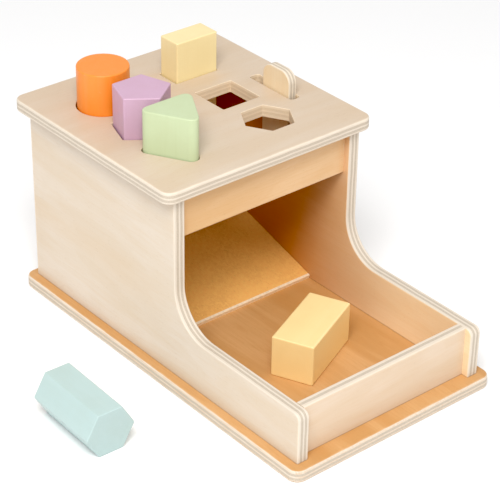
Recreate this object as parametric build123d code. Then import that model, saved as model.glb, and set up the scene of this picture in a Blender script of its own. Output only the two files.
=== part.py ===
from build123d import *
import math
import os

# A wooden posting box: a plywood box with seven shaped holes in its lid, an inner
# ramp, and an open tray in front where the posted pieces come out.
# Millimetres. The origin is the centre of the base board's underside, +Z is up,
# -Y is the tray end and +X is the right-hand side seen from the tray.

# Boards
board = 9.0                  # plywood of the base, lid, side panels and back
thin_board = 7.5             # plywood of the header and the tray rail
ramp_board_thickness = 3.0   # hardboard

# Box
box_width = 161.0            # across the outsides of the two side panels
compartment_depth = 163.5    # the tall part of a side panel, front to back
compartment_height = 134.5   # base top to lid underside
tray_length = 126.0          # how far the side panels run on in front
tray_height = 37.5           # side panels and rail above the base
base_border = 7.5            # the base shows this much all round
lid_overhang = 8.5           # lid beyond the side panels and the back
lid_overhang_front = 4.5     # lid beyond the tall part's front edges
header_height = 33.0
header_inset = 5.0           # header behind the tall part's front edges
rail_inset = 5.5             # rail behind the side panels' front ends
cove_radius = 31.0           # the sweep from the tall part down to the tray
tray_corner_radius = 5.0     # side panels' upper front corners
slab_corner_radius = 8.0     # base and lid, seen from above
slab_edge_round = 1.5        # base and lid, round their edges
panel_edge_round = 1.0       # side panels, rail and header, along what shows
hole_edge_round = 0.5        # top edges of the lid's holes

# Ramp
ramp_setback = 36.0          # ramp's front edge behind the tall part's front edges
ramp_angle = 16.0            # degrees
ramp_side_gap = 0.3
cleat_depth = 12.0           # batten under the ramp's back edge
cleat_height = 15.0
cleat_end_gap = 6.0          # cleat's ends short of the side panels

# Dowels
dowel_diameter = 5.0
dowel_short = 5.5            # sunk in a board's face
dowel_long = 12.0            # sunk in a board's edge
dowel_glue_gap = 0.1         # hole wider than the dowel, all round
dowel_end_gap = 0.5          # hole deeper than the dowel, at each end
dowel_chamfer = 0.6
dowel_margin = 18.0          # from a board's end to its first dowel
dowel_margin_small = 8.0     # the same along the ends of the header and the rail

# Posting pieces
piece_length = 62.0
piece_stand = 30.0           # how far a piece stands out of its hole
piece_round = 1.0
hole_gap = 0.65              # between a piece and its hole, all round
piece_offset = (0.28, -0.24)  # a standing piece rests off its hole's middle, right and forward
hole_corner_round = 1.0
cylinder_diameter = 36.6
pentagon_radius = 20.8       # centre to corner
triangle_side = 46.4
triangle_corner_round = 5.5
rectangle_width = 36.0
rectangle_depth = 19.2
square_side = 31.0
hexagon_flats = 32.4
tile_thickness = 7.0
tile_width = 28.0
tile_length = 62.0
tile_corner_round = 9.0
tile_edge_round = 0.6
tile_stand = 17.6
slot_front_gap = 4.2         # slot left open in front of the tile
slot_back_gap = 14.0         # and behind it
slot_corner_round = 2.5

# Places of the holes: from a side panel's inner face, and behind the lid's front edge
left_column = 25.7           # from the left panel
right_column = 41.0          # from the right panel
rectangle_column = 39.8      # from the right panel
tile_column = 6.8            # from the right panel
cylinder_row = 128.7
pentagon_row = 84.7
triangle_row = 47.7
rectangle_row = 132.6
square_row = 87.4
hexagon_row = 43.5
tile_row = 71.7

# Loose pieces
tray_piece_place = (4.5, 84.7)      # from the middle, and from the side panels' front ends
tray_piece_angle = 24.7             # degrees from +X
ground_piece_gap = 50.3             # clear of the base's left edge
ground_piece_forward = 21.0         # its middle in front of the base's middle
ground_piece_angle = 88.6

# Worked out from the above
base_top = board
lid_under = base_top + compartment_height
lid_top = lid_under + board
panel_length = compartment_depth + tray_length
panel_front = -panel_length / 2
panel_back = panel_length / 2
tall_front = panel_front + tray_length
tray_top = base_top + tray_height
inner_half = box_width / 2 - board
lid_front = tall_front - lid_overhang_front
back_inner = panel_back - board
header_middle = tall_front + header_inset + thin_board / 2
rail_middle = panel_front + rail_inset + thin_board / 2
ramp_front = tall_front + ramp_setback
ramp_slope = math.tan(math.radians(ramp_angle))
ramp_length = (back_inner - ramp_front) / math.cos(math.radians(ramp_angle))
left_x = -inner_half + left_column
right_x = inner_half - right_column
rectangle_x = inner_half - rectangle_column
tile_x = inner_half - tile_column


# Dowels across the joints

def spread(low, high, count):
    """Evenly spaced places from low to high, both ends included."""
    step = (high - low) / (count - 1)
    return [low + step * i for i in range(count)]


def dowel_pin(point, into, slack=0.0, end_slack=0.0):
    """A pin through a joint's face at point: its long end lies along into."""
    length = dowel_long + dowel_short + 2 * end_slack
    middle = Vector(*point) + Vector(*into) * ((dowel_long - dowel_short) / 2)
    pin = Cylinder(dowel_diameter / 2 + slack, length)
    if slack == 0.0:
        pin = chamfer(pin.edges().filter_by(GeomType.CIRCLE), dowel_chamfer)
    return Plane(origin=middle, z_dir=Vector(*into)) * pin


def dowel_hole(point, into):
    """The hole that takes a dowel, in both of the boards that it joins."""
    return dowel_pin(point, into, dowel_glue_gap, dowel_end_gap)


panel_middle_x = inner_half + board / 2
up = (0, 0, 1)
down = (0, 0, -1)
header_ends_z = spread(lid_under - header_height + dowel_margin_small, lid_under - dowel_margin_small, 2)
rail_ends_z = spread(base_top + dowel_margin_small, tray_top - dowel_margin_small, 2)
back_ends_z = spread(base_top + dowel_margin, lid_under - dowel_margin, 3)
side_base_y = spread(panel_front + dowel_margin, panel_back - dowel_margin, 4)
side_lid_y = spread(tall_front + dowel_margin, panel_back - dowel_margin, 3)

joints = {"base_dowels": [], "lid_dowels": [], "back_panel_dowels": [], "header_dowels": [], "tray_rail_dowels": []}
for side in (-1, 1):
    inward = (-side, 0, 0)
    for y in side_base_y:
        joints["base_dowels"].append(((side * panel_middle_x, y, base_top), up))
    for y in side_lid_y:
        joints["lid_dowels"].append(((side * panel_middle_x, y, lid_under), down))
    for z in back_ends_z:
        joints["back_panel_dowels"].append(((side * inner_half, panel_back - board / 2, z), inward))
    for z in header_ends_z:
        joints["header_dowels"].append(((side * inner_half, header_middle, z), inward))
    for z in rail_ends_z:
        joints["tray_rail_dowels"].append(((side * inner_half, rail_middle, z), inward))


def bored(solid, *groups):
    """The board with the holes of the named groups of dowels."""
    for group in groups:
        for point, into in joints[group]:
            solid -= dowel_hole(point, into)
    return solid


# Boards

def slab(width, depth, x, y, bottom):
    """A board lying flat, with rounded corners and rounded edges."""
    body = extrude(RectangleRounded(width, depth, slab_corner_radius), board)
    by_height = body.faces().sort_by(Axis.Z)
    rims = by_height[0].edges() + by_height[-1].edges()
    return Pos(x, y, bottom) * fillet(rims, slab_edge_round)


def base_board():
    width = box_width + 2 * base_border
    depth = panel_length + 2 * base_border
    return bored(slab(width, depth, 0, 0, 0), "base_dowels")


def side_panel(side):
    """A tall panel that sweeps down to the tray's low side."""
    corners = [
        (panel_back, base_top),
        (panel_back, lid_under),
        (tall_front, lid_under),
        (tall_front, tray_top),
        (panel_front, tray_top),
        (panel_front, base_top),
    ]
    profile = make_face(Polyline(*corners, close=True))
    panel = Pos(side * panel_middle_x - board / 2, 0, 0) * extrude(Plane.YZ * profile, board)
    across = panel.edges().filter_by(Axis.X)
    cove = across.sort_by_distance((side * panel_middle_x, tall_front, tray_top))[0]
    panel = fillet(cove, cove_radius)
    across = panel.edges().filter_by(Axis.X)
    corner = across.sort_by_distance((side * panel_middle_x, panel_front, tray_top))[0]
    panel = fillet(corner, tray_corner_radius)
    shown = [edge for edge in panel.edges() if shows_on_panel(edge)]
    panel = fillet(shown, panel_edge_round)
    return bored(panel, *joints)


def shows_on_panel(edge):
    """True for the long edges of the panel's front, its sweep and the tray's low side."""
    box = edge.bounding_box()
    across = box.max.X - box.min.X > board / 2
    at_back = box.min.Y > tall_front + 1
    at_top = box.min.Z > lid_under - 1
    at_bottom = box.max.Z < base_top + 1
    return not (across or at_back or at_top or at_bottom)


def upright(width, thickness, height, y, bottom, rounded_above, rounded_below):
    """A board on edge between the side panels, its long edges rounded where they show."""
    body = Pos(0, y, bottom + height / 2) * Box(width, thickness, height)
    lengthwise = body.edges().filter_by(Axis.X).sort_by(Axis.Z)
    rims = []
    if rounded_below:
        rims += lengthwise[:2]
    if rounded_above:
        rims += lengthwise[-2:]
    if rims:
        body = fillet(rims, panel_edge_round)
    return body


def back_panel():
    body = upright(2 * inner_half, board, compartment_height, panel_back - board / 2, base_top, False, False)
    return bored(body, "back_panel_dowels")


def header_board():
    bottom = lid_under - header_height
    body = upright(2 * inner_half, thin_board, header_height, header_middle, bottom, False, True)
    return bored(body, "header_dowels")


def tray_rail():
    body = upright(2 * inner_half, thin_board, tray_height, rail_middle, base_top, True, False)
    return bored(body, "tray_rail_dowels")


# Ramp: its lower front corner stands on the base, its back edge meets the back panel

def ramp_board():
    width = 2 * (inner_half - ramp_side_gap)
    lying = Pos(0, ramp_length / 2, ramp_board_thickness / 2) * Box(width, ramp_length, ramp_board_thickness)
    return Pos(0, ramp_front, base_top) * Rot(ramp_angle, 0, 0) * lying


def ramp_cleat():
    """A batten glued to the back panel, its top planed to the ramp's slope."""
    front = back_inner - cleat_depth
    top_back = base_top + (back_inner - ramp_front) * ramp_slope
    top_front = base_top + (front - ramp_front) * ramp_slope
    bottom = top_back - cleat_height
    corners = [(back_inner, top_back), (front, top_front), (front, bottom), (back_inner, bottom)]
    section = Plane.YZ * make_face(Polyline(*corners, close=True))
    half = inner_half - cleat_end_gap
    return Pos(-half, 0, 0) * extrude(section, 2 * half)


# Outlines of the posting pieces and, with a gap, of their holes

def regular_outline(corner_radius, sides, turn, gap):
    grown = corner_radius + gap / math.cos(math.pi / sides)
    return RegularPolygon(grown, sides, rotation=turn)


def cylinder_outline(gap):
    return Circle(cylinder_diameter / 2 + gap)


def pentagon_outline(gap):
    return regular_outline(pentagon_radius, 5, -90, gap)


def triangle_outline(gap):
    return regular_outline(triangle_side / math.sqrt(3), 3, -90, gap)


def rectangle_outline(gap):
    return Rectangle(rectangle_width + 2 * gap, rectangle_depth + 2 * gap)


def square_outline(gap):
    return Rectangle(square_side + 2 * gap, square_side + 2 * gap)


def hexagon_outline(gap):
    return regular_outline(hexagon_flats / math.sqrt(3), 6, 0, gap)


# Each hole: outline, place across, place behind the lid's front edge, corner rounding
holes = {
    "cylinder": (cylinder_outline, left_x, cylinder_row, 0),
    "pentagon": (pentagon_outline, left_x, pentagon_row, hole_corner_round),
    "triangle": (triangle_outline, left_x, triangle_row, triangle_corner_round),
    "rectangle": (rectangle_outline, rectangle_x, rectangle_row, hole_corner_round),
    "square": (square_outline, right_x, square_row, hole_corner_round),
    "hexagon": (hexagon_outline, right_x, hexagon_row, hole_corner_round),
}


def tile_slot():
    """The slot through the lid, from its front gap to its back gap round the tile."""
    width = tile_thickness + 2 * hole_gap
    length = slot_front_gap + tile_width + slot_back_gap
    middle = lid_front + tile_row + (slot_back_gap - slot_front_gap) / 2
    cut = extrude(RectangleRounded(width, length, slot_corner_round), board)
    return Pos(tile_x, middle, lid_under) * cut


def lid_board():
    width = box_width + 2 * lid_overhang
    depth = compartment_depth + lid_overhang_front + lid_overhang
    lid = slab(width, depth, 0, lid_front + depth / 2, lid_under)
    for outline, x, row, corner_round in holes.values():
        cut = extrude(outline(hole_gap), board)
        if corner_round > 0:
            cut = fillet(cut.edges().filter_by(Axis.Z), corner_round)
        lid -= Pos(x, lid_front + row, lid_under) * cut
    lid -= tile_slot()
    lid = fillet(lid.faces().sort_by(Axis.Z)[-1].inner_wires().edges(), hole_edge_round)
    return bored(lid, "lid_dowels")


# Posting pieces

def prism(outline, corner_round):
    """An upright piece with rounded edges, its lower end at z = 0."""
    body = extrude(outline(0), piece_length)
    if outline is cylinder_outline:
        return fillet(body.edges().filter_by(GeomType.CIRCLE), piece_round)
    body = fillet(body.edges().filter_by(Axis.Z), corner_round)
    by_height = body.faces().sort_by(Axis.Z)
    return fillet(by_height[0].edges() + by_height[-1].edges(), piece_round)


def standing(name, corner_round=piece_round):
    """A piece upright in its hole."""
    outline, x, row, hole_corner = holes[name]
    across, along = piece_offset
    bottom = lid_top + piece_stand - piece_length
    return Pos(x + across, lid_front + row + along, bottom) * prism(outline, corner_round)


def plywood_tile():
    """A flat plywood tile, on end in the slot."""
    face = Plane.YZ * RectangleRounded(tile_width, tile_length, tile_corner_round)
    body = Pos(-tile_thickness / 2, 0, 0) * extrude(face, tile_thickness)
    sides = body.faces().sort_by(Axis.X)
    body = fillet(sides[0].edges() + sides[-1].edges(), tile_edge_round)
    x = tile_x + piece_offset[0]
    return Pos(x, lid_front + tile_row, lid_top + tile_stand - tile_length / 2) * body


def lying(outline, height, roll=0):
    """A piece on its side along +X, rolled about its own axis, resting on z = 0."""
    middle = Pos(0, 0, -piece_length / 2) * prism(outline, piece_round)
    return Pos(0, 0, height / 2) * Rot(0, 90, 0) * Rot(0, 0, roll) * middle


def yellow_square_block():
    across, along = tray_piece_place
    return Pos(across, panel_front + along, base_top) * Rot(0, 0, tray_piece_angle) * lying(square_outline, square_side)


def mint_hexagon_block():
    half_width = hexagon_flats / math.sqrt(3)
    x = -box_width / 2 - base_border - ground_piece_gap - half_width
    on_flat = lying(hexagon_outline, hexagon_flats, 90)
    return Pos(x, -ground_piece_forward, 0) * Rot(0, 0, ground_piece_angle) * on_flat


def dowels(group):
    return Compound(children=[dowel_pin(point, into) for point, into in joints[group]])


nodes = {
    "base_board": base_board(),
    "left_side_panel": side_panel(-1),
    "right_side_panel": side_panel(1),
    "back_panel": back_panel(),
    "header_board": header_board(),
    "tray_rail": tray_rail(),
    "lid_board": lid_board(),
    "ramp_board": ramp_board(),
    "ramp_cleat": ramp_cleat(),
    "orange_cylinder_block": standing("cylinder"),
    "purple_pentagon_block": standing("pentagon"),
    "green_triangle_block": standing("triangle", triangle_corner_round),
    "yellow_rectangle_block": standing("rectangle"),
    "plywood_tile": plywood_tile(),
    "yellow_square_block": yellow_square_block(),
    "mint_hexagon_block": mint_hexagon_block(),
}
for group in joints:
    nodes[group] = dowels(group)

os.makedirs("parts", exist_ok=True)
for name, solid in nodes.items():
    export_step(solid, f"parts/{name}.step")
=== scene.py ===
import math
import bmesh
import bpy
from mathutils import Matrix, Vector


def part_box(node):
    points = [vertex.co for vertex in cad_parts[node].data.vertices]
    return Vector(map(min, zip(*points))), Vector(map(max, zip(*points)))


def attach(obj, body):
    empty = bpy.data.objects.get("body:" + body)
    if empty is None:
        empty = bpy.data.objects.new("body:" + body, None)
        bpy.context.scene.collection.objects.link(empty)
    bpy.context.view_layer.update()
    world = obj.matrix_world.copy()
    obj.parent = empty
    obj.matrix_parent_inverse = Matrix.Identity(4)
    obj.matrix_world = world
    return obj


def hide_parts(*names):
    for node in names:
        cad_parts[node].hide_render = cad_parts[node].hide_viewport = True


# The looks of a wooden posting box: lacquered birch plywood with its veneers showing on
# every edge, a hardboard ramp, and posting pieces in matt paint. Metres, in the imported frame.

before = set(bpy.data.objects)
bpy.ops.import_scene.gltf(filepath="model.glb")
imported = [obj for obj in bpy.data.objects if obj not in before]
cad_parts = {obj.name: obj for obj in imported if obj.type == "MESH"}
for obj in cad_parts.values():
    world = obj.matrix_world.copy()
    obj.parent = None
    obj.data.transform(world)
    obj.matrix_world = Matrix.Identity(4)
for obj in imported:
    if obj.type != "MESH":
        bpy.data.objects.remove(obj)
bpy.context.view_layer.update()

MM = 0.001

# Veneers of the plywood from face to face, as thicknesses. The first, third and fifth run along
# the board and show pale on its edges, the others run across it and show dark.
THICK_VENEERS = (2.2, 1.5, 1.6, 1.5, 2.2)
THIN_VENEERS = (2.8, 1.9, 2.8)
TILE_VENEERS = (1.5, 1.3, 1.4, 1.3, 1.5)

# Posting pieces
CORNER_ROUND = 1.2 * MM            # along a block's long edges
TRIANGLE_CORNER_ROUND = 5.5 * MM
RIM_ROUND = 0.9 * MM               # round a block's ends
TILE_CORNER_ROUND = 9.0 * MM
TILE_RIM_ROUND = 0.7 * MM
TRAY_PIECE_ANGLE = 24.7            # degrees from +X
GROUND_PIECE_ANGLE = 88.6

# Camera and studio
CAMERA_PLACE = (-0.7055, -0.8350, 0.7339)
CAMERA_AZIMUTH = 40.18             # degrees, from looking along +Y towards +X
CAMERA_ELEVATION = 31.35           # degrees, looking down
CAMERA_ROLL = 0.98                 # degrees
CAMERA_LENS = 133.8                # for a sensor 36 wide
LIT_POINT = (0, 0, 0.05)
KEY_PLACE = (-0.74, -0.69, 1.35)
FILL_PLACE = (0.15, -1.7, 0.9)
FLOOR_RADIUS = 6
FLOOR = (0.95, 0.95, 0.955)
WHITE = (1.0, 1.0, 1.0)
WARM_WHITE = (1.0, 0.99, 0.97)
BLACK_LEVEL = 0.025                # the studio's deep shadows go to black

# Colours, linear. A tint multiplies another colour.
LID_FACE = (0.615, 0.51, 0.405)
SIDE_FACE = (0.69, 0.605, 0.51)
TRAY_PAINTED_LIGHT = (1.30, 1.20, 0.99)       # painted light on the side panels' inner faces round the tray
INSIDE_PAINTED_SHADE = (0.83, 0.41, 0.15)     # and painted shade on the inner faces deep inside the box
BASE_FACE = (0.60, 0.352, 0.162)
HEADER_FACE = (0.71, 0.485, 0.28)
RAIL_FACE = (0.695, 0.565, 0.437)
TILE_FACE = (0.81, 0.665, 0.465)
LONG_VENEER = (0.71, 0.635, 0.535)
CROSS_VENEER = (0.50, 0.43, 0.345)
GLUE_LINE = (0.27, 0.19, 0.13)
# pale arrises: a painted highlight, patchy like wear
ARRIS_WEAR_AND_HIGHLIGHT = (0.78, 0.67, 0.53)
HOLE_WALL = (0.88, 0.69, 0.455)      # the walls of the lid's holes, sanded and oiled
HARDBOARD = (0.99, 0.56, 0.19)
HARDBOARD_EDGE = (0.96, 0.80, 0.58)
HARDBOARD_FLECK = (0.25, 0.12, 0.035)
RAMP_FRONT_PAINTED_SHADE = (0.92, 0.88, 0.86)    # painted shade on the ramp's front
BEECH = (0.62, 0.43, 0.25)
SEAM = (0.30, 0.17, 0.08)            # the dark line where an upright board meets the base
ORANGE = (0.88, 0.27, 0.045)
PURPLE = (0.56, 0.365, 0.49)
GREEN = (0.515, 0.60, 0.375)
PALE_YELLOW = (0.84, 0.70, 0.385)
YELLOW = (0.94, 0.725, 0.36)
MINT = (0.46, 0.595, 0.585)


# Camera and studio

def aim_camera():
    """The camera looks down on the box from its front left."""
    azimuth = math.radians(CAMERA_AZIMUTH)
    elevation = math.radians(CAMERA_ELEVATION)
    roll = math.radians(CAMERA_ROLL)
    right = Vector((math.cos(azimuth), -math.sin(azimuth), 0))
    forward = Vector((
        math.sin(azimuth) * math.cos(elevation),
        math.cos(azimuth) * math.cos(elevation),
        -math.sin(elevation),
    ))
    up = right.cross(forward)
    turned_right = math.cos(roll) * right + math.sin(roll) * up
    turned_up = math.cos(roll) * up - math.sin(roll) * right
    camera = bpy.data.objects.new("camera", bpy.data.cameras.new("camera"))
    camera.data.lens = CAMERA_LENS
    camera.data.sensor_width = 36
    camera.data.clip_end = 20
    axes = Matrix((turned_right, turned_up, -forward)).transposed()
    camera.matrix_world = Matrix.Translation(CAMERA_PLACE) @ axes.to_4x4()
    bpy.context.scene.collection.objects.link(camera)
    bpy.context.scene.camera = camera


def soft_light(name, place, size, watts, tint):
    """A large square lamp at place, facing the box."""
    lamp = bpy.data.lights.new(name, "AREA")
    lamp.size = size
    lamp.energy = watts
    lamp.color = tint
    holder = bpy.data.objects.new(name, lamp)
    holder.location = place
    holder.rotation_euler = (Vector(LIT_POINT) - Vector(place)).to_track_quat("-Z", "Y").to_euler()
    bpy.context.scene.collection.objects.link(holder)


def light_studio():
    """A white room, a soft key from the upper left, and a white floor."""
    scene = bpy.context.scene
    scene.view_settings.view_transform = "Standard"
    scene.view_settings.use_curve_mapping = True
    scene.view_settings.curve_mapping.black_level = (BLACK_LEVEL,) * 3
    world = bpy.data.worlds.new("studio")
    world.use_nodes = True
    backdrop = world.node_tree.nodes["Background"]
    backdrop.inputs["Color"].default_value = (*WHITE, 1)
    backdrop.inputs["Strength"].default_value = 0.72
    scene.world = world
    soft_light("key", KEY_PLACE, 0.7, 20, WARM_WHITE)
    soft_light("fill", FILL_PLACE, 1.2, 2.2, WHITE)

    bpy.ops.object.select_all(action="DESELECT")
    bpy.ops.mesh.primitive_circle_add(vertices=96, radius=FLOOR_RADIUS, fill_type="NGON")
    floor = bpy.context.object
    floor.name = "studio_floor"
    material, tree, shader = new_material("studio_floor")
    shader.inputs["Base Color"].default_value = (*FLOOR, 1)
    shader.inputs["Roughness"].default_value = 0.9
    shader.inputs["Specular IOR Level"].default_value = 0.1
    floor.data.materials.append(material)


# Small helpers for material nodes

def new_material(name):
    material = bpy.data.materials.new(name)
    material.use_nodes = True
    tree = material.node_tree
    return material, tree, tree.nodes["Principled BSDF"]


def feed(tree, socket, value):
    """Sets a socket to a plain value, or links it to another node's output."""
    if isinstance(value, bpy.types.NodeSocket):
        tree.links.new(value, socket)
    else:
        socket.default_value = value


def calc(tree, operation, *values, clamp=False):
    node = tree.nodes.new("ShaderNodeMath")
    node.operation = operation
    node.use_clamp = clamp
    for socket, value in zip(node.inputs, values):
        feed(tree, socket, value)
    return node.outputs[0]


def vector_calc(tree, operation, *values):
    node = tree.nodes.new("ShaderNodeVectorMath")
    node.operation = operation
    for socket, value in zip(node.inputs, values):
        feed(tree, socket, value)
    return node.outputs[0]


def split(tree, vector):
    node = tree.nodes.new("ShaderNodeSeparateXYZ")
    feed(tree, node.inputs[0], vector)
    return node.outputs


def blend(tree, factor, first, second, mode="MIX"):
    """Mixes two colours, each given as three numbers or as a link."""
    node = tree.nodes.new("ShaderNodeMix")
    node.data_type = "RGBA"
    node.blend_type = mode
    feed(tree, node.inputs[0], factor)
    for socket, colour in ((node.inputs[6], first), (node.inputs[7], second)):
        feed(tree, socket, colour if isinstance(colour, bpy.types.NodeSocket) else (*colour, 1))
    return node.outputs[2]


def ease(tree, value, low, high, out_low=0.0, out_high=1.0):
    """Takes value from low..high to out_low..out_high, smoothly and clamped."""
    node = tree.nodes.new("ShaderNodeMapRange")
    node.interpolation_type = "SMOOTHSTEP"
    for socket, number in zip(node.inputs, (value, low, high, out_low, out_high)):
        feed(tree, socket, number)
    return node.outputs[0]


def noise(tree, vector, detail=2.0, roughness=0.5, distortion=0.0):
    """Noise with one feature per unit of vector."""
    node = tree.nodes.new("ShaderNodeTexNoise")
    feed(tree, node.inputs["Vector"], vector)
    node.inputs["Scale"].default_value = 1.0
    node.inputs["Detail"].default_value = detail
    node.inputs["Roughness"].default_value = roughness
    node.inputs["Distortion"].default_value = distortion
    return node.outputs["Fac"]


def object_place(tree, shift, turn=(0, 0, 0)):
    """The point in the frame, moved by shift so that no two pieces share a pattern, then turned."""
    coordinate = tree.nodes.new("ShaderNodeTexCoord")
    mapping = tree.nodes.new("ShaderNodeMapping")
    mapping.vector_type = "POINT"
    mapping.inputs["Location"].default_value = shift
    mapping.inputs["Rotation"].default_value = turn
    tree.links.new(coordinate.outputs["Object"], mapping.inputs["Vector"])
    return coordinate.outputs["Object"], mapping.outputs[0]


def stretched(tree, point, along, features_along, features_across):
    """Point times a number of features per metre: few along the grain axis, many across it."""
    counts = [features_across] * 3
    counts[along] = features_along
    return vector_calc(tree, "MULTIPLY", point, counts)


def add_bump(tree, shader, height, distance, strength=1.0):
    bump = tree.nodes.new("ShaderNodeBump")
    bump.inputs["Strength"].default_value = strength
    bump.inputs["Distance"].default_value = distance
    feed(tree, bump.inputs["Height"], height)
    tree.links.new(bump.outputs[0], shader.inputs["Normal"])


def from_sides(tree, point, low, high):
    """How far inside the sides of the box low..high the point is, along x, y and z."""
    outward = vector_calc(tree, "SUBTRACT", point, tuple((low + high) / 2))
    outward = vector_calc(tree, "ABSOLUTE", outward)
    return split(tree, vector_calc(tree, "SUBTRACT", tuple((high - low) / 2), outward))


def near_arris(tree, point, low, high, width):
    """1 on the straight edges of the box low..high and 0 from width away."""
    x, y, z = from_sides(tree, point, low, high)
    smaller = calc(tree, "MINIMUM", x, y)
    larger = calc(tree, "MAXIMUM", x, y)
    second_smallest = calc(tree, "MAXIMUM", smaller, calc(tree, "MINIMUM", larger, z))
    return ease(tree, second_smallest, 0.0, width, 1.0, 0.0)


# Wood

def veneer_pattern(tree, position, veneers):
    """1 on the veneers that run along the board, 0 on those that run across it, over 0..1."""
    ramp = tree.nodes.new("ShaderNodeValToRGB")
    stops = ramp.color_ramp
    stops.interpolation = "LINEAR"
    total = sum(veneers)
    soft = 0.02
    reached = 0.0
    marks = []
    for count, veneer in enumerate(veneers):
        tone = 1.0 if count % 2 == 0 else 0.0
        marks.append((reached / total + soft, tone))
        reached += veneer
        marks.append((reached / total - soft, tone))
    stops.elements[0].position = marks[0][0]
    stops.elements[0].color = (marks[0][1],) * 3 + (1,)
    stops.elements[1].position = marks[-1][0]
    stops.elements[1].color = (marks[-1][1],) * 3 + (1,)
    for place, tone in marks[1:-1]:
        stops.elements.new(place).color = (tone, tone, tone, 1)
    feed(tree, ramp.inputs[0], position)
    return ramp.outputs[0]


def wood_figure(tree, point, grain, tone, figure=1.0):
    """The board's face: broad figure, growth lines, fibres and pores. Returns colour and height.
    figure is how strongly the board is marked."""
    broad = noise(tree, stretched(tree, point, grain, 5, 42), 3.0, 0.5, 0.5)
    cloud = noise(tree, vector_calc(tree, "MULTIPLY", point, (16, 16, 16)), 2.0, 0.5)
    lines = calc(tree, "SINE", calc(tree, "MULTIPLY", broad, 70.0))
    fibres = noise(tree, stretched(tree, point, grain, 30, 900), 4.0, 0.65)
    pores = noise(tree, stretched(tree, point, grain, 260, 2600), 1.0, 0.5)
    pale = tuple(min(1.0, part * (1 + 0.02 * figure ** 2)) for part in tone)
    warm = (tone[0] * (1 - 0.02 * figure), tone[1] * (1 - 0.055 * figure), tone[2] * (1 - 0.11 * figure))
    heart = (tone[0] * 0.95, tone[1] * 0.83, tone[2] * 0.66)
    colour = blend(tree, ease(tree, broad, 0.36, 0.66), pale, warm)
    colour = blend(tree, ease(tree, cloud, 0.42, 0.7, 0.0, 0.5), colour, warm)
    streak = noise(tree, stretched(tree, point, grain, 4, 26), 1.0, 0.4, 0.3)
    colour = blend(tree, ease(tree, streak, 0.58, 0.74, 0.0, 0.35 * figure), colour, heart)
    colour = blend(tree, ease(tree, lines, 0.2, 1.0, 0.0, 0.08 * figure), colour, heart)
    colour = blend(tree, ease(tree, fibres, 0.40, 0.72, 0.0, 0.18 * figure), colour, heart)
    pore_mask = ease(tree, pores, 0.66, 0.76, 0.0, 0.22)
    colour = blend(tree, pore_mask, colour, (tone[0] * 0.55, tone[1] * 0.42, tone[2] * 0.28))
    height = calc(tree, "SUBTRACT", calc(tree, "MULTIPLY", fibres, 0.5), pore_mask)
    return colour, height


def painted_inside_light_and_shade(tree, place):
    """Painted light and shade on the inner faces: pale round the tray, darker and browner deep inside the
    box.
    """
    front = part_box("ramp_board")[0].y
    depth = ease(tree, split(tree, place)[1], front - 100 * MM, front + 40 * MM)
    return blend(tree, depth, TRAY_PAINTED_LIGHT, INSIDE_PAINTED_SHADE)


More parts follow.
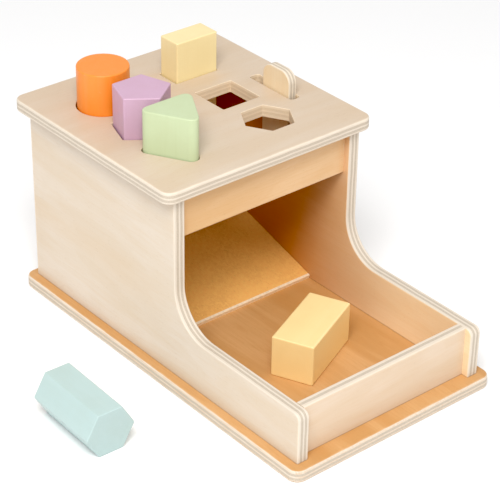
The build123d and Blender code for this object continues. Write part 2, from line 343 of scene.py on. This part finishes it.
def plywood(name, board, through, grain, veneers, tone, inner_sign=0, figure=1.0):
    """Lacquered birch plywood. through and grain are axis numbers: across the thickness, and
    along the face's grain. inner_sign tells which way the board's inner face looks, if it has
    one, and figure how strongly the wood is marked."""
    material, tree, shader = new_material(name)
    low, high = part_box(board)
    order = len(bpy.data.materials)
    place, point = object_place(tree, (0.31 * order, 0.17 * order, 0.23 * order))
    colour, height = wood_figure(tree, point, grain, tone, figure)

    normal = tree.nodes.new("ShaderNodeNewGeometry").outputs["Normal"]
    facing = split(tree, normal)[through]
    # The inner face takes painted light round the tray and painted shade deep inside the box
    if inner_sign:
        inside_painted_colour = blend(tree, 1.0, colour, painted_inside_light_and_shade(tree, place), "MULTIPLY")
        side = ease(tree, calc(tree, "MULTIPLY", facing, inner_sign), 0.1, 0.5)
        colour = blend(tree, side, colour, inside_painted_colour)
    edge = ease(tree, calc(tree, "ABSOLUTE", facing), 0.80, 0.94, 1.0, 0.0)

    # The veneers show on the edges, a little wavy, with dark glue lines between them
    depth = calc(tree, "SUBTRACT", split(tree, place)[through], low[through])
    depth = calc(tree, "DIVIDE", depth, high[through] - low[through])
    wave = noise(tree, vector_calc(tree, "MULTIPLY", point, (70, 70, 70)), 3.0, 0.6)
    depth = calc(tree, "ADD", depth, ease(tree, wave, 0.3, 0.7, -0.018, 0.018))
    along = veneer_pattern(tree, depth, veneers)
    specks = noise(tree, vector_calc(tree, "MULTIPLY", point, (1500, 1500, 1500)), 2.0, 0.6)
    length = noise(tree, stretched(tree, point, grain, 60, 1400), 3.0, 0.6)
    long_veneer = blend(tree, ease(tree, length, 0.35, 0.7, 0.0, 0.5), LONG_VENEER, tone)
    pale_cross = [part * 1.15 for part in CROSS_VENEER]
    cross_veneer = blend(tree, ease(tree, specks, 0.35, 0.65), CROSS_VENEER, pale_cross)
    edge_colour = blend(tree, along, cross_veneer, long_veneer)
    from_joint = calc(tree, "ABSOLUTE", calc(tree, "SUBTRACT", along, 0.5))
    glue = ease(tree, from_joint, 0.05, 0.5, 0.40, 0.0)
    edge_colour = blend(tree, glue, edge_colour, GLUE_LINE)
    if through == 2:
        x, y, _ = from_sides(tree, place, low, high)
        in_holes = ease(tree, calc(tree, "MINIMUM", x, y), 3.0 * MM, 5.0 * MM, 0.0, 0.5)
        edge_colour = blend(tree, in_holes, edge_colour, HOLE_WALL)
    colour = blend(tree, edge, colour, edge_colour)
    edge_height = calc(tree, "ADD", along, calc(tree, "MULTIPLY", specks, 0.6))
    face_part = calc(tree, "MULTIPLY", height, calc(tree, "SUBTRACT", 1.0, edge))
    edge_part = calc(tree, "MULTIPLY", edge_height, calc(tree, "MULTIPLY", edge, 0.7))
    height = calc(tree, "ADD", face_part, edge_part)

    # The arrises are painted paler in places: a painted highlight, patchy like wear
    wear_and_highlight_noise = noise(tree, vector_calc(tree, "MULTIPLY", point, (90, 90, 90)), 2.0, 0.6)
    arris_wear_and_highlight = near_arris(tree, place, low, high, 2.2 * MM)
    arris_wear_and_highlight = calc(tree, "MULTIPLY", arris_wear_and_highlight, ease(tree, wear_and_highlight_noise, 0.4, 0.65, 0.1, 0.5))
    if through != 2:
        above_foot = calc(tree, "SUBTRACT", split(tree, place)[2], low.z)
        arris_wear_and_highlight = calc(tree, "MULTIPLY", arris_wear_and_highlight, ease(tree, above_foot, 1.5 * MM, 4.0 * MM))
        at_foot = ease(tree, above_foot, 0.2 * MM, 0.9 * MM, 0.6, 0.0)
        colour = blend(tree, at_foot, colour, SEAM)
    colour = blend(tree, arris_wear_and_highlight, colour, ARRIS_WEAR_AND_HIGHLIGHT)
    feed(tree, shader.inputs["Base Color"], colour)
    roughness = ease(tree, wear_and_highlight_noise, 0.3, 0.7, 0.40, 0.50)
    roughness = calc(tree, "ADD", roughness, calc(tree, "MULTIPLY", edge, 0.14))
    feed(tree, shader.inputs["Roughness"], roughness)
    shader.inputs["Specular IOR Level"].default_value = 0.4
    add_bump(tree, shader, height, 0.00006, 0.5)
    return material


def hardboard(name, board):
    """Pressed wood fibre with a smooth brown face and a pale sawn edge."""
    material, tree, shader = new_material(name)
    place, point = object_place(tree, (0.7, 0.2, 0.4))
    fibres = noise(tree, vector_calc(tree, "MULTIPLY", point, (520, 330, 520)), 4.0, 0.7, 0.8)
    clouds = noise(tree, vector_calc(tree, "MULTIPLY", point, (28, 28, 28)), 3.0, 0.6)
    flecks = noise(tree, vector_calc(tree, "MULTIPLY", point, (1500, 260, 1500)), 1.0, 0.5)
    dark = tuple(part * 0.84 for part in HARDBOARD)
    pale = tuple(min(1.0, part * 1.10) for part in HARDBOARD)
    colour = blend(tree, ease(tree, clouds, 0.35, 0.68, 0.0, 0.6), HARDBOARD, dark)
    colour = blend(tree, ease(tree, fibres, 0.42, 0.62, 0.0, 0.9), colour, pale)
    colour = blend(tree, ease(tree, flecks, 0.64, 0.74, 0.0, 0.18), colour, HARDBOARD_FLECK)
    normal = tree.nodes.new("ShaderNodeNewGeometry").outputs["Normal"]
    up = calc(tree, "ABSOLUTE", split(tree, normal)[2])
    sawn = ease(tree, up, 0.6, 0.85, 1.0, 0.0)
    from_front = calc(tree, "SUBTRACT", split(tree, place)[1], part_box(board)[0].y)
    # Painted shade darkens the ramp at its front, fading out 80 mm back
    painted_front_shade = ease(tree, from_front, 5 * MM, 80 * MM, 1.0, 0.0)
    colour = blend(tree, painted_front_shade, colour, blend(tree, 1.0, colour, RAMP_FRONT_PAINTED_SHADE, "MULTIPLY"))
    sawn = calc(tree, "MAXIMUM", sawn, ease(tree, from_front, 1.6 * MM, 2.2 * MM, 1.0, 0.0))
    dull_edge = [part * 0.85 for part in HARDBOARD_EDGE]
    sawn_colour = blend(tree, ease(tree, fibres, 0.4, 0.65), HARDBOARD_EDGE, dull_edge)
    colour = blend(tree, sawn, colour, sawn_colour)
    feed(tree, shader.inputs["Base Color"], colour)
    feed(tree, shader.inputs["Roughness"], ease(tree, clouds, 0.3, 0.7, 0.48, 0.62))
    shader.inputs["Specular IOR Level"].default_value = 0.3
    height = calc(tree, "ADD", fibres, calc(tree, "MULTIPLY", clouds, 0.4))
    add_bump(tree, shader, height, 0.00008, 0.5)
    return material


def solid_wood(name, grain, tone):
    """Plain beech, unfinished, for the dowels and the batten under the ramp."""
    material, tree, shader = new_material(name)
    _, point = object_place(tree, (0.15, 0.5, 0.33))
    colour, height = wood_figure(tree, point, grain, tone)
    flecks = noise(tree, stretched(tree, point, grain, 420, 1900), 1.0, 0.5)
    fleck_mask = ease(tree, flecks, 0.6, 0.7, 0.0, 0.5)
    colour = blend(tree, fleck_mask, colour, [part * 0.5 for part in tone])
    feed(tree, shader.inputs["Base Color"], colour)
    feed(tree, shader.inputs["Roughness"], ease(tree, flecks, 0.3, 0.7, 0.6, 0.72))
    add_bump(tree, shader, calc(tree, "SUBTRACT", height, fleck_mask), 0.00008, 0.6)
    return material


def paint(name, tone, grain=2, turn=0.0, arris_wear_and_highlight=False, end=1.0):
    """Satin paint over sanded wood, with the grain faint under it. turn is the block's angle in
    degrees, arris_wear_and_highlight makes it the paler paint of the arrises, thinner there and with a
    painted highlight, and end the painted shade on its two ends."""
    material, tree, shader = new_material(name)
    order = len(bpy.data.materials)
    lifted = (0.21 * order, 0.37 * order, 0.11 * order)
    _, point = object_place(tree, lifted, (0, 0, -math.radians(turn)))
    grain_lines = noise(tree, stretched(tree, point, grain, 22, 650), 4.0, 0.6)
    brush = noise(tree, stretched(tree, point, grain, 9, 180), 2.0, 0.5)
    clouds = noise(tree, vector_calc(tree, "MULTIPLY", point, (45, 45, 45)), 3.0, 0.55)
    peel = noise(tree, vector_calc(tree, "MULTIPLY", point, (1300, 1300, 1300)), 2.0, 0.5)
    scuffs_and_highlight = noise(tree, vector_calc(tree, "MULTIPLY", point, (240, 240, 240)), 3.0, 0.7)
    deep = (tone[0] * 0.96, tone[1] * 0.94, tone[2] * 0.91)
    # thin is a paler paint: thin coats here and there, and on the arrises also a painted highlight
    thin = tuple(part + (1 - part) * 0.12 for part in tone)
    colour = blend(tree, ease(tree, clouds, 0.35, 0.68, 0.0, 0.5), tone, deep)
    colour = blend(tree, ease(tree, grain_lines, 0.45, 0.75, 0.0, 0.3), colour, deep)
    colour = blend(tree, ease(tree, brush, 0.50, 0.72, 0.0, 0.14), colour, thin)
    # On the arrises the paint is paler all over: thinner paint and a painted highlight
    if arris_wear_and_highlight:
        colour = blend(tree, ease(tree, scuffs_and_highlight, 0.30, 0.62, 0.35, 1.0), colour, thin)
    else:
        colour = blend(tree, ease(tree, scuffs_and_highlight, 0.66, 0.78, 0.0, 0.4), colour, thin)
    # The two ends take painted shade when end is below 1
    if end != 1.0:
        angle = math.radians(turn)
        axis = (0, 0, 1) if grain == 2 else (math.cos(angle), math.sin(angle), 0)
        normal = tree.nodes.new("ShaderNodeNewGeometry").outputs["Normal"]
        along = split(tree, vector_calc(tree, "MULTIPLY", normal, axis))
        facing = calc(tree, "ABSOLUTE", calc(tree, "ADD", calc(tree, "ADD", along[0], along[1]), along[2]))
        end_painted_shade = blend(tree, 1.0, colour, (end,) * 3, "MULTIPLY")
        colour = blend(tree, ease(tree, facing, 0.7, 0.95), colour, end_painted_shade)
    feed(tree, shader.inputs["Base Color"], colour)
    feed(tree, shader.inputs["Roughness"], ease(tree, brush, 0.3, 0.7, 0.34, 0.44))
    shader.inputs["Specular IOR Level"].default_value = 0.5
    height = calc(tree, "ADD", calc(tree, "MULTIPLY", grain_lines, 0.8), calc(tree, "MULTIPLY", peel, 0.5))
    add_bump(tree, shader, height, 0.00005, 0.4)
    return material


# Modelling the loose pieces

def start_prism(sides, radius, length):
    """An upright prism or cylinder on its middle, ready to shape."""
    bpy.ops.object.select_all(action="DESELECT")
    bpy.ops.mesh.primitive_cylinder_add(vertices=sides, radius=radius, depth=length)
    return bpy.context.object


def start_bar(size):
    """An upright square bar on its middle, ready to shape."""
    bpy.ops.object.select_all(action="DESELECT")
    bpy.ops.mesh.primitive_cube_add(size=1)
    piece = bpy.context.object
    piece.scale = size
    bpy.ops.object.transform_apply(location=False, rotation=False, scale=True)
    return piece


def round_edges(piece, chosen, width, segments, material=0):
    """Bevels the edges that chosen(first end, second end) picks."""
    bpy.ops.object.mode_set(mode="EDIT")
    bpy.ops.mesh.select_mode(type="EDGE")
    bpy.ops.mesh.select_all(action="DESELECT")
    shape = bmesh.from_edit_mesh(piece.data)
    for edge in shape.edges:
        edge.select_set(chosen(edge.verts[0].co, edge.verts[1].co))
    bmesh.update_edit_mesh(piece.data)
    bpy.ops.mesh.bevel(offset=width, segments=segments, profile=0.5, affect="EDGES", material=material)
    bpy.ops.object.mode_set(mode="OBJECT")


def upright_edge(first, second):
    return abs(first.z - second.z) > 10 * MM


def end_rim(first, second):
    return abs(first.z - second.z) < 0.01 * MM


def finish_block(piece, name, node, body, slot, place, turns, colour, arris_wear_and_highlight):
    """Turns the block, moves it to its place, and hands it to its body in the frame."""
    piece.name = name
    piece.data.name = name
    piece.rotation_euler = [math.radians(turn) for turn in turns]
    piece.location = place
    bpy.ops.object.transform_apply(location=True, rotation=True, scale=True)
    bpy.ops.object.shade_smooth_by_angle(angle=math.radians(35))
    flats = piece.modifiers.new("flat faces stay flat", "WEIGHTED_NORMAL")
    flats.keep_sharp = True
    bpy.ops.object.modifier_apply(modifier=flats.name)
    piece.data.materials.append(colour)
    piece.data.materials.append(arris_wear_and_highlight)
    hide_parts(node)
    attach(piece, body)


def corner_width(radius, sides):
    """How far a rounding of that radius reaches along a regular prism's sides."""
    return radius * math.tan(math.pi / sides)


def painted(colour_name, tone, grain=2, turn=0.0, end=1.0):
    """The paint and, for the arrises, the same paint paler: thinner, and with a painted highlight."""
    return (paint(colour_name, tone, grain, turn, end=end),
            paint(colour_name + "_arris_wear_and_highlight", tone, grain, turn, arris_wear_and_highlight=True))


def orange_cylinder():
    low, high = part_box("orange_cylinder_block")
    piece = start_prism(96, (high.x - low.x) / 2, high.z - low.z)
    round_edges(piece, end_rim, RIM_ROUND, 5, 1)
    finish_block(piece, "orange_cylinder", "orange_cylinder_block", "cylinder_piece", "orange_paint",
                 (low + high) / 2, (0, 0, 0), *painted("orange_paint", ORANGE))


def polygon_block(sides, name, node, body, slot, corner_round, tone):
    """A block with an odd number of sides, one corner pointing to the front of the box."""
    low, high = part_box(node)
    half_angle = math.pi / sides
    corner_cut = corner_round * (1 / math.cos(half_angle) - 1)
    radius = (high.y - low.y + corner_cut) / (1 + math.cos(half_angle))
    middle = Vector(((low.x + high.x) / 2, high.y - radius * math.cos(half_angle), (low.z + high.z) / 2))
    piece = start_prism(sides, radius, high.z - low.z)
    round_edges(piece, upright_edge, corner_width(corner_round, sides), 6)
    round_edges(piece, end_rim, RIM_ROUND, 5, 1)
    finish_block(piece, name, node, body, slot, middle, (0, 0, 180), *painted(slot, tone))


def yellow_rectangle():
    low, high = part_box("yellow_rectangle_block")
    piece = start_bar(high - low)
    round_edges(piece, upright_edge, CORNER_ROUND, 5)
    round_edges(piece, end_rim, RIM_ROUND, 5, 1)
    finish_block(piece, "yellow_rectangle", "yellow_rectangle_block", "rectangle_piece",
                 "pale_yellow_paint", (low + high) / 2, (0, 0, 0),
                 *painted("pale_yellow_paint", PALE_YELLOW))


def yellow_square():
    """The square block, lying in the tray."""
    low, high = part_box("yellow_square_block")
    across = high.z - low.z
    standing_low, standing_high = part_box("yellow_rectangle_block")
    piece = start_bar((across, across, standing_high.z - standing_low.z))
    round_edges(piece, upright_edge, CORNER_ROUND, 5, 1)
    round_edges(piece, end_rim, RIM_ROUND, 5, 1)
    finish_block(piece, "yellow_square", "yellow_square_block", "square_piece", "yellow_paint",
                 (low + high) / 2, (0, 90, TRAY_PIECE_ANGLE),
                 *painted("yellow_paint", YELLOW, 0, TRAY_PIECE_ANGLE))


def mint_hexagon():
    """The six-sided block, lying on one of its flats beside the box."""
    low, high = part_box("mint_hexagon_block")
    flats = high.z - low.z
    standing_low, standing_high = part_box("yellow_rectangle_block")
    piece = start_prism(6, flats / 2 / math.cos(math.pi / 6), standing_high.z - standing_low.z)
    round_edges(piece, upright_edge, corner_width(CORNER_ROUND, 6), 5, 1)
    round_edges(piece, end_rim, RIM_ROUND, 5, 1)
    # Its ends take painted shade, at 0.92
    finish_block(piece, "mint_hexagon", "mint_hexagon_block", "hexagon_piece", "mint_paint",
                 (low + high) / 2, (0, 90, GROUND_PIECE_ANGLE),
                 *painted("mint_paint", MINT, 0, GROUND_PIECE_ANGLE, 0.92))


def flat_tile():
    """The plywood tile: a thin board with round corners, standing on end in the slot."""
    low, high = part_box("plywood_tile")
    piece = start_bar(high - low)

    def through_edge(first, second):
        return abs(first.x - second.x) > 2 * MM

    def face_rim(first, second):
        return abs(first.x - second.x) < 0.01 * MM

    round_edges(piece, through_edge, TILE_CORNER_ROUND, 14)
    round_edges(piece, face_rim, TILE_RIM_ROUND, 3)
    wood = plywood("tile_plywood", "plywood_tile", 0, 2, TILE_VENEERS, TILE_FACE)
    finish_block(piece, "flat_tile", "plywood_tile", "tile_piece", "birch_plywood",
                 (low + high) / 2, (0, 0, 0), wood, wood)


# The frame's own boards keep their shapes and take these materials

def dress(node, material):
    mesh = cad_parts[node].data
    mesh.materials.clear()
    mesh.materials.append(material)


def dress_boards():
    dress("lid_board", plywood("lid_plywood", "lid_board", 2, 0, THICK_VENEERS, LID_FACE))
    wood = plywood("base_plywood", "base_board", 2, 1, THICK_VENEERS, BASE_FACE, figure=2.4)
    dress("base_board", wood)
    for side, name in ((-1, "left_side_panel"), (1, "right_side_panel")):
        wood = plywood(name + "_plywood", name, 0, 1, THICK_VENEERS, SIDE_FACE, -side, 1.3)
        dress(name, wood)
    dress("back_panel", plywood("back_plywood", "back_panel", 1, 0, THICK_VENEERS, SIDE_FACE, -1))
    wood = plywood("header_plywood", "header_board", 1, 0, THIN_VENEERS, HEADER_FACE, figure=1.8)
    dress("header_board", wood)
    dress("tray_rail", plywood("rail_plywood", "tray_rail", 1, 0, THIN_VENEERS, RAIL_FACE, 1, 1.3))
    dress("ramp_board", hardboard("ramp_hardboard", "ramp_board"))
    dress("ramp_cleat", solid_wood("cleat_beech", 0, BEECH))
    upright_pins = solid_wood("upright_dowel_beech", 2, BEECH)
    level_pins = solid_wood("level_dowel_beech", 0, BEECH)
    for node in ("base_dowels", "lid_dowels"):
        dress(node, upright_pins)
    for node in ("back_panel_dowels", "header_dowels", "tray_rail_dowels"):
        dress(node, level_pins)


aim_camera()
light_studio()
dress_boards()
orange_cylinder()
polygon_block(5, "purple_pentagon", "purple_pentagon_block", "pentagon_piece", "purple_paint",
              CORNER_ROUND, PURPLE)
polygon_block(3, "green_triangle", "green_triangle_block", "triangle_piece", "green_paint",
              TRIANGLE_CORNER_ROUND, GREEN)
yellow_rectangle()
yellow_square()
mint_hexagon()
flat_tile()
